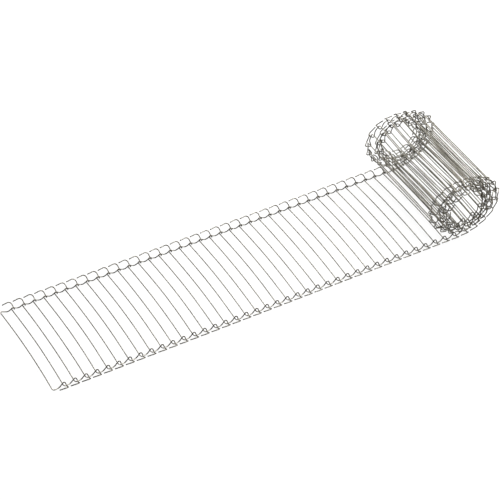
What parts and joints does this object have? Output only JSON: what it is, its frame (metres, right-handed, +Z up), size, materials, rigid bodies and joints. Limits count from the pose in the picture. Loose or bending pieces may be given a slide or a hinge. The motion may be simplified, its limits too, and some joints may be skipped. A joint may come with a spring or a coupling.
{
  "type": "wire conveyor belt",
  "caption": "Flat open conveyor belt of bent spring-wire links, each hooked around the next link's corners, laid out flat and rolled up at one end.",
  "frame": {"origin": "middle of the belt's overall length and width, on the floor it lies on", "axes": "+X along the belt from the free end to the roll, +Y along the cross rods, +Z up"},
  "size_m": [1.1026, 0.2912, 0.1697],
  "materials": {
    "stainless_wire": "bright drawn stainless spring wire"
  },
  "bodies": {
    "link_01": {"link_01": "stainless_wire"},
    "link_02": {"link_02": "stainless_wire"},
    "link_03": {"link_03": "stainless_wire"},
    "link_04": {"link_04": "stainless_wire"},
    "link_05": {"link_05": "stainless_wire"},
    "link_06": {"link_06": "stainless_wire"},
    "link_07": {"link_07": "stainless_wire"},
    "link_08": {"link_08": "stainless_wire"},
    "link_09": {"link_09": "stainless_wire"},
    "link_10": {"link_10": "stainless_wire"},
    "link_11": {"link_11": "stainless_wire"},
    "link_12": {"link_12": "stainless_wire"},
    "link_13": {"link_13": "stainless_wire"},
    "link_14": {"link_14": "stainless_wire"},
    "link_15": {"link_15": "stainless_wire"},
    "link_16": {"link_16": "stainless_wire"},
    "link_17": {"link_17": "stainless_wire"},
    "link_18": {"link_18": "stainless_wire"},
    "link_19": {"link_19": "stainless_wire"},
    "link_20": {"link_20": "stainless_wire"},
    "link_21": {"link_21": "stainless_wire"},
    "link_22": {"link_22": "stainless_wire"},
    "link_23": {"link_23": "stainless_wire"},
    "link_24": {"link_24": "stainless_wire"},
    "link_25": {"link_25": "stainless_wire"},
    "link_26": {"link_26": "stainless_wire"},
    "link_27": {"link_27": "stainless_wire"},
    "link_28": {"link_28": "stainless_wire"},
    "link_29": {"link_29": "stainless_wire"},
    "link_30": {"link_30": "stainless_wire"},
    "link_31": {"link_31": "stainless_wire"},
    "link_32": {"link_32": "stainless_wire"},
    "link_33": {"link_33": "stainless_wire"},
    "link_34": {"link_34": "stainless_wire"},
    "link_35": {"link_35": "stainless_wire"},
    "link_36": {"link_36": "stainless_wire"},
    "link_37": {"link_37": "stainless_wire"},
    "link_38": {"link_38": "stainless_wire"},
    "link_39": {"link_39": "stainless_wire"},
    "link_40": {"link_40": "stainless_wire"},
    "link_41": {"link_41": "stainless_wire"},
    "link_42": {"link_42": "stainless_wire"},
    "link_43": {"link_43": "stainless_wire"},
    "link_44": {"link_44": "stainless_wire"},
    "link_45": {"link_45": "stainless_wire"},
    "link_46": {"link_46": "stainless_wire"},
    "link_47": {"link_47": "stainless_wire"},
    "link_48": {"link_48": "stainless_wire"},
    "link_49": {"link_49": "stainless_wire"},
    "link_50": {"link_50": "stainless_wire"},
    "link_51": {"link_51": "stainless_wire"},
    "link_52": {"link_52": "stainless_wire"},
    "link_53": {"link_53": "stainless_wire"},
    "link_54": {"link_54": "stainless_wire"},
    "link_55": {"link_55": "stainless_wire"},
    "link_56": {"link_56": "stainless_wire"},
    "link_57": {"link_57": "stainless_wire"},
    "link_58": {"link_58": "stainless_wire"},
    "link_59": {"link_59": "stainless_wire"},
    "roll_core": {"core_links": "stainless_wire"}
  },
  "joints": [
    {"name": "hinge_01", "type": "hinge", "parent": "link_02", "child": "link_01", "pos_m": [-0.52466, 0, 0.00605], "axis": [0, 1, 0], "range_deg": [-2, 90]},
    {"name": "hinge_02", "type": "hinge", "parent": "link_03", "child": "link_02", "pos_m": [-0.49926, 0, 0.00605], "axis": [0, 1, 0], "range_deg": [-2, 29]},
    {"name": "hinge_03", "type": "hinge", "parent": "link_04", "child": "link_03", "pos_m": [-0.47386, 0, 0.00605], "axis": [0, 1, 0], "range_deg": [-2, 28.3]},
    {"name": "hinge_04", "type": "hinge", "parent": "link_05", "child": "link_04", "pos_m": [-0.44846, 0, 0.00605], "axis": [0, 1, 0], "range_deg": [-2, 27.7]},
    {"name": "hinge_05", "type": "hinge", "parent": "link_06", "child": "link_05", "pos_m": [-0.42306, 0, 0.00605], "axis": [0, 1, 0], "range_deg": [-2, 27.1]},
    {"name": "hinge_06", "type": "hinge", "parent": "link_07", "child": "link_06", "pos_m": [-0.39766, 0, 0.00605], "axis": [0, 1, 0], "range_deg": [-2, 26.6]},
    {"name": "hinge_07", "type": "hinge", "parent": "link_08", "child": "link_07", "pos_m": [-0.37226, 0, 0.00605], "axis": [0, 1, 0], "range_deg": [-2, 26.1]},
    {"name": "hinge_08", "type": "hinge", "parent": "link_09", "child": "link_08", "pos_m": [-0.34686, 0, 0.00605], "axis": [0, 1, 0], "range_deg": [-2, 25.6]},
    {"name": "hinge_09", "type": "hinge", "parent": "link_10", "child": "link_09", "pos_m": [-0.32146, 0, 0.00605], "axis": [0, 1, 0], "range_deg": [-2, 25.2]},
    {"name": "hinge_10", "type": "hinge", "parent": "link_11", "child": "link_10", "pos_m": [-0.29606, 0, 0.00605], "axis": [0, 1, 0], "range_deg": [-2, 24.7]},
    {"name": "hinge_11", "type": "hinge", "parent": "link_12", "child": "link_11", "pos_m": [-0.27066, 0, 0.00605], "axis": [0, 1, 0], "range_deg": [-2, 24.3]},
    {"name": "hinge_12", "type": "hinge", "parent": "link_13", "child": "link_12", "pos_m": [-0.24526, 0, 0.00605], "axis": [0, 1, 0], "range_deg": [-2, 23.9]},
    {"name": "hinge_13", "type": "hinge", "parent": "link_14", "child": "link_13", "pos_m": [-0.21986, 0, 0.00605], "axis": [0, 1, 0], "range_deg": [-2, 23.6]},
    {"name": "hinge_14", "type": "hinge", "parent": "link_15", "child": "link_14", "pos_m": [-0.19446, 0, 0.00605], "axis": [0, 1, 0], "range_deg": [-2, 23.2]},
    {"name": "hinge_15", "type": "hinge", "parent": "link_16", "child": "link_15", "pos_m": [-0.16906, 0, 0.00605], "axis": [0, 1, 0], "range_deg": [-2, 22.9]},
    {"name": "hinge_16", "type": "hinge", "parent": "link_17", "child": "link_16", "pos_m": [-0.14366, 0, 0.00605], "axis": [0, 1, 0], "range_deg": [-2, 22.6]},
    {"name": "hinge_17", "type": "hinge", "parent": "link_18", "child": "link_17", "pos_m": [-0.11826, 0, 0.00605], "axis": [0, 1, 0], "range_deg": [-2, 22.2]},
    {"name": "hinge_18", "type": "hinge", "parent": "link_19", "child": "link_18", "pos_m": [-0.09286, 0, 0.00605], "axis": [0, 1, 0], "range_deg": [-2, 22]},
    {"name": "hinge_19", "type": "hinge", "parent": "link_20", "child": "link_19", "pos_m": [-0.06746, 0, 0.00605], "axis": [0, 1, 0], "range_deg": [-2, 21.7]},
    {"name": "hinge_20", "type": "hinge", "parent": "link_21", "child": "link_20", "pos_m": [-0.04206, 0, 0.00605], "axis": [0, 1, 0], "range_deg": [-2, 21.4]},
    {"name": "hinge_21", "type": "hinge", "parent": "link_22", "child": "link_21", "pos_m": [-0.01666, 0, 0.00605], "axis": [0, 1, 0], "range_deg": [-2, 21.1]},
    {"name": "hinge_22", "type": "hinge", "parent": "link_23", "child": "link_22", "pos_m": [0.00874, 0, 0.00605], "axis": [0, 1, 0], "range_deg": [-2, 20.9]},
    {"name": "hinge_23", "type": "hinge", "parent": "link_24", "child": "link_23", "pos_m": [0.03414, 0, 0.00605], "axis": [0, 1, 0], "range_deg": [-2, 20.6]},
    {"name": "hinge_24", "type": "hinge", "parent": "link_25", "child": "link_24", "pos_m": [0.05954, 0, 0.00605], "axis": [0, 1, 0], "range_deg": [-2, 20.4]},
    {"name": "hinge_25", "type": "hinge", "parent": "link_26", "child": "link_25", "pos_m": [0.08494, 0, 0.00605], "axis": [0, 1, 0], "range_deg": [-2, 20.2]},
    {"name": "hinge_26", "type": "hinge", "parent": "link_27", "child": "link_26", "pos_m": [0.11034, 0, 0.00605], "axis": [0, 1, 0], "range_deg": [-2, 19.9]},
    {"name": "hinge_27", "type": "hinge", "parent": "link_28", "child": "link_27", "pos_m": [0.13574, 0, 0.00605], "axis": [0, 1, 0], "range_deg": [-2, 19.7]},
    {"name": "hinge_28", "type": "hinge", "parent": "link_29", "child": "link_28", "pos_m": [0.16114, 0, 0.00605], "axis": [0, 1, 0], "range_deg": [-2, 19.5]},
    {"name": "hinge_29", "type": "hinge", "parent": "link_30", "child": "link_29", "pos_m": [0.18654, 0, 0.00605], "axis": [0, 1, 0], "range_deg": [-2, 19.3]},
    {"name": "hinge_30", "type": "hinge", "parent": "link_31", "child": "link_30", "pos_m": [0.21194, 0, 0.00605], "axis": [0, 1, 0], "range_deg": [-2, 5]},
    {"name": "hinge_31", "type": "hinge", "parent": "link_32", "child": "link_31", "pos_m": [0.23734, 0, 0.00605], "axis": [0, 1, 0], "range_deg": [-2, 5]},
    {"name": "hinge_32", "type": "hinge", "parent": "link_33", "child": "link_32", "pos_m": [0.26274, 0, 0.00605], "axis": [0, 1, 0], "range_deg": [-2, 5]},
    {"name": "hinge_33", "type": "hinge", "parent": "link_34", "child": "link_33", "pos_m": [0.28814, 0, 0.00605], "axis": [0, 1, 0], "range_deg": [-2, 5]},
    {"name": "hinge_34", "type": "hinge", "parent": "link_35", "child": "link_34", "pos_m": [0.31354, 0, 0.00605], "axis": [0, 1, 0], "range_deg": [-2, 5]},
    {"name": "hinge_35", "type": "hinge", "parent": "link_36", "child": "link_35", "pos_m": [0.33894, 0, 0.00605], "axis": [0, 1, 0], "range_deg": [-2, 5]},
    {"name": "hinge_36", "type": "hinge", "parent": "link_37", "child": "link_36", "pos_m": [0.36434, 0, 0.00605], "axis": [0, 1, 0], "range_deg": [-2, 5]},
    {"name": "hinge_37", "type": "hinge", "parent": "link_38", "child": "link_37", "pos_m": [0.38974, 0, 0.00605], "axis": [0, 1, 0], "range_deg": [-2, 5]},
    {"name": "hinge_38", "type": "hinge", "parent": "link_39", "child": "link_38", "pos_m": [0.41514, 0, 0.00605], "axis": [0, 1, 0], "range_deg": [-2, 5]},
    {"name": "hinge_39", "type": "hinge", "parent": "link_39", "child": "link_40", "pos_m": [0.44054, 0, 0.00605], "axis": [0, 1, 0], "range_deg": [0, 6.3]},
    {"name": "hinge_40", "type": "hinge", "parent": "link_40", "child": "link_41", "pos_m": [0.46579, 0, 0.00886], "axis": [0, 1, 0], "range_deg": [0, 10.7]},
    {"name": "hinge_41", "type": "hinge", "parent": "link_41", "child": "link_42", "pos_m": [0.49006, 0, 0.01633], "axis": [0, 1, 0], "range_deg": [0, 12]},
    {"name": "hinge_42", "type": "hinge", "parent": "link_42", "child": "link_43", "pos_m": [0.51224, 0, 0.02871], "axis": [0, 1, 0], "range_deg": [0, 14.5]},
    {"name": "hinge_43", "type": "hinge", "parent": "link_43", "child": "link_44", "pos_m": [0.53059, 0, 0.04627], "axis": [0, 1, 0], "range_deg": [0, 18.5]},
    {"name": "hinge_44", "type": "hinge", "parent": "link_44", "child": "link_45", "pos_m": [0.54239, 0, 0.06876], "axis": [0, 1, 0], "range_deg": [0, 22.9]},
    {"name": "hinge_45", "type": "hinge", "parent": "link_45", "child": "link_46", "pos_m": [0.54449, 0, 0.09408], "axis": [0, 1, 0], "range_deg": [0, 24.3]},
    {"name": "hinge_46", "type": "hinge", "parent": "link_46", "child": "link_47", "pos_m": [0.53597, 0, 0.11801], "axis": [0, 1, 0], "range_deg": [0, 21.1]},
    {"name": "hinge_47", "type": "hinge", "parent": "link_47", "child": "link_48", "pos_m": [0.5194, 0, 0.13725], "axis": [0, 1, 0], "range_deg": [0, 16.6]},
    {"name": "hinge_48", "type": "hinge", "parent": "link_48", "child": "link_49", "pos_m": [0.49801, 0, 0.15095], "axis": [0, 1, 0], "range_deg": [0, 13.2]},
    {"name": "hinge_49", "type": "hinge", "parent": "link_49", "child": "link_50", "pos_m": [0.47405, 0, 0.15938], "axis": [0, 1, 0], "range_deg": [0, 11.8]},
    {"name": "hinge_50", "type": "hinge", "parent": "link_50", "child": "link_51", "pos_m": [0.44887, 0, 0.16273], "axis": [0, 1, 0], "range_deg": [0, 12.3]},
    {"name": "hinge_51", "type": "hinge", "parent": "link_51", "child": "link_52", "pos_m": [0.42356, 0, 0.16061], "axis": [0, 1, 0], "range_deg": [0, 12]},
    {"name": "hinge_52", "type": "hinge", "parent": "link_52", "child": "link_53", "pos_m": [0.39969, 0, 0.15192], "axis": [0, 1, 0], "range_deg": [0, 3]},
    {"name": "hinge_53", "type": "hinge", "parent": "link_53", "child": "link_54", "pos_m": [0.38057, 0, 0.13521], "axis": [0, 1, 0], "range_deg": [0, 2]},
    {"name": "hinge_54", "type": "hinge", "parent": "link_54", "child": "link_55", "pos_m": [0.37139, 0, 0.11152], "axis": [0, 1, 0], "range_deg": [0, 2]},
    {"name": "hinge_55", "type": "hinge", "parent": "link_55", "child": "link_56", "pos_m": [0.37382, 0, 0.08624], "axis": [0, 1, 0], "range_deg": [0, 2]},
    {"name": "hinge_56", "type": "hinge", "parent": "link_56", "child": "link_57", "pos_m": [0.38474, 0, 0.06331], "axis": [0, 1, 0], "range_deg": [0, 2]},
    {"name": "hinge_57", "type": "hinge", "parent": "link_57", "child": "link_58", "pos_m": [0.40135, 0, 0.0441], "axis": [0, 1, 0], "range_deg": [0, 2]},
    {"name": "hinge_58", "type": "hinge", "parent": "link_58", "child": "link_59", "pos_m": [0.42218, 0, 0.02956], "axis": [0, 1, 0], "range_deg": [0, 3]},
    {"name": "hinge_59", "type": "hinge", "parent": "link_59", "child": "roll_core", "pos_m": [0.44619, 0, 0.02128], "axis": [0, 1, 0], "range_deg": [0, 4]}
  ]
}
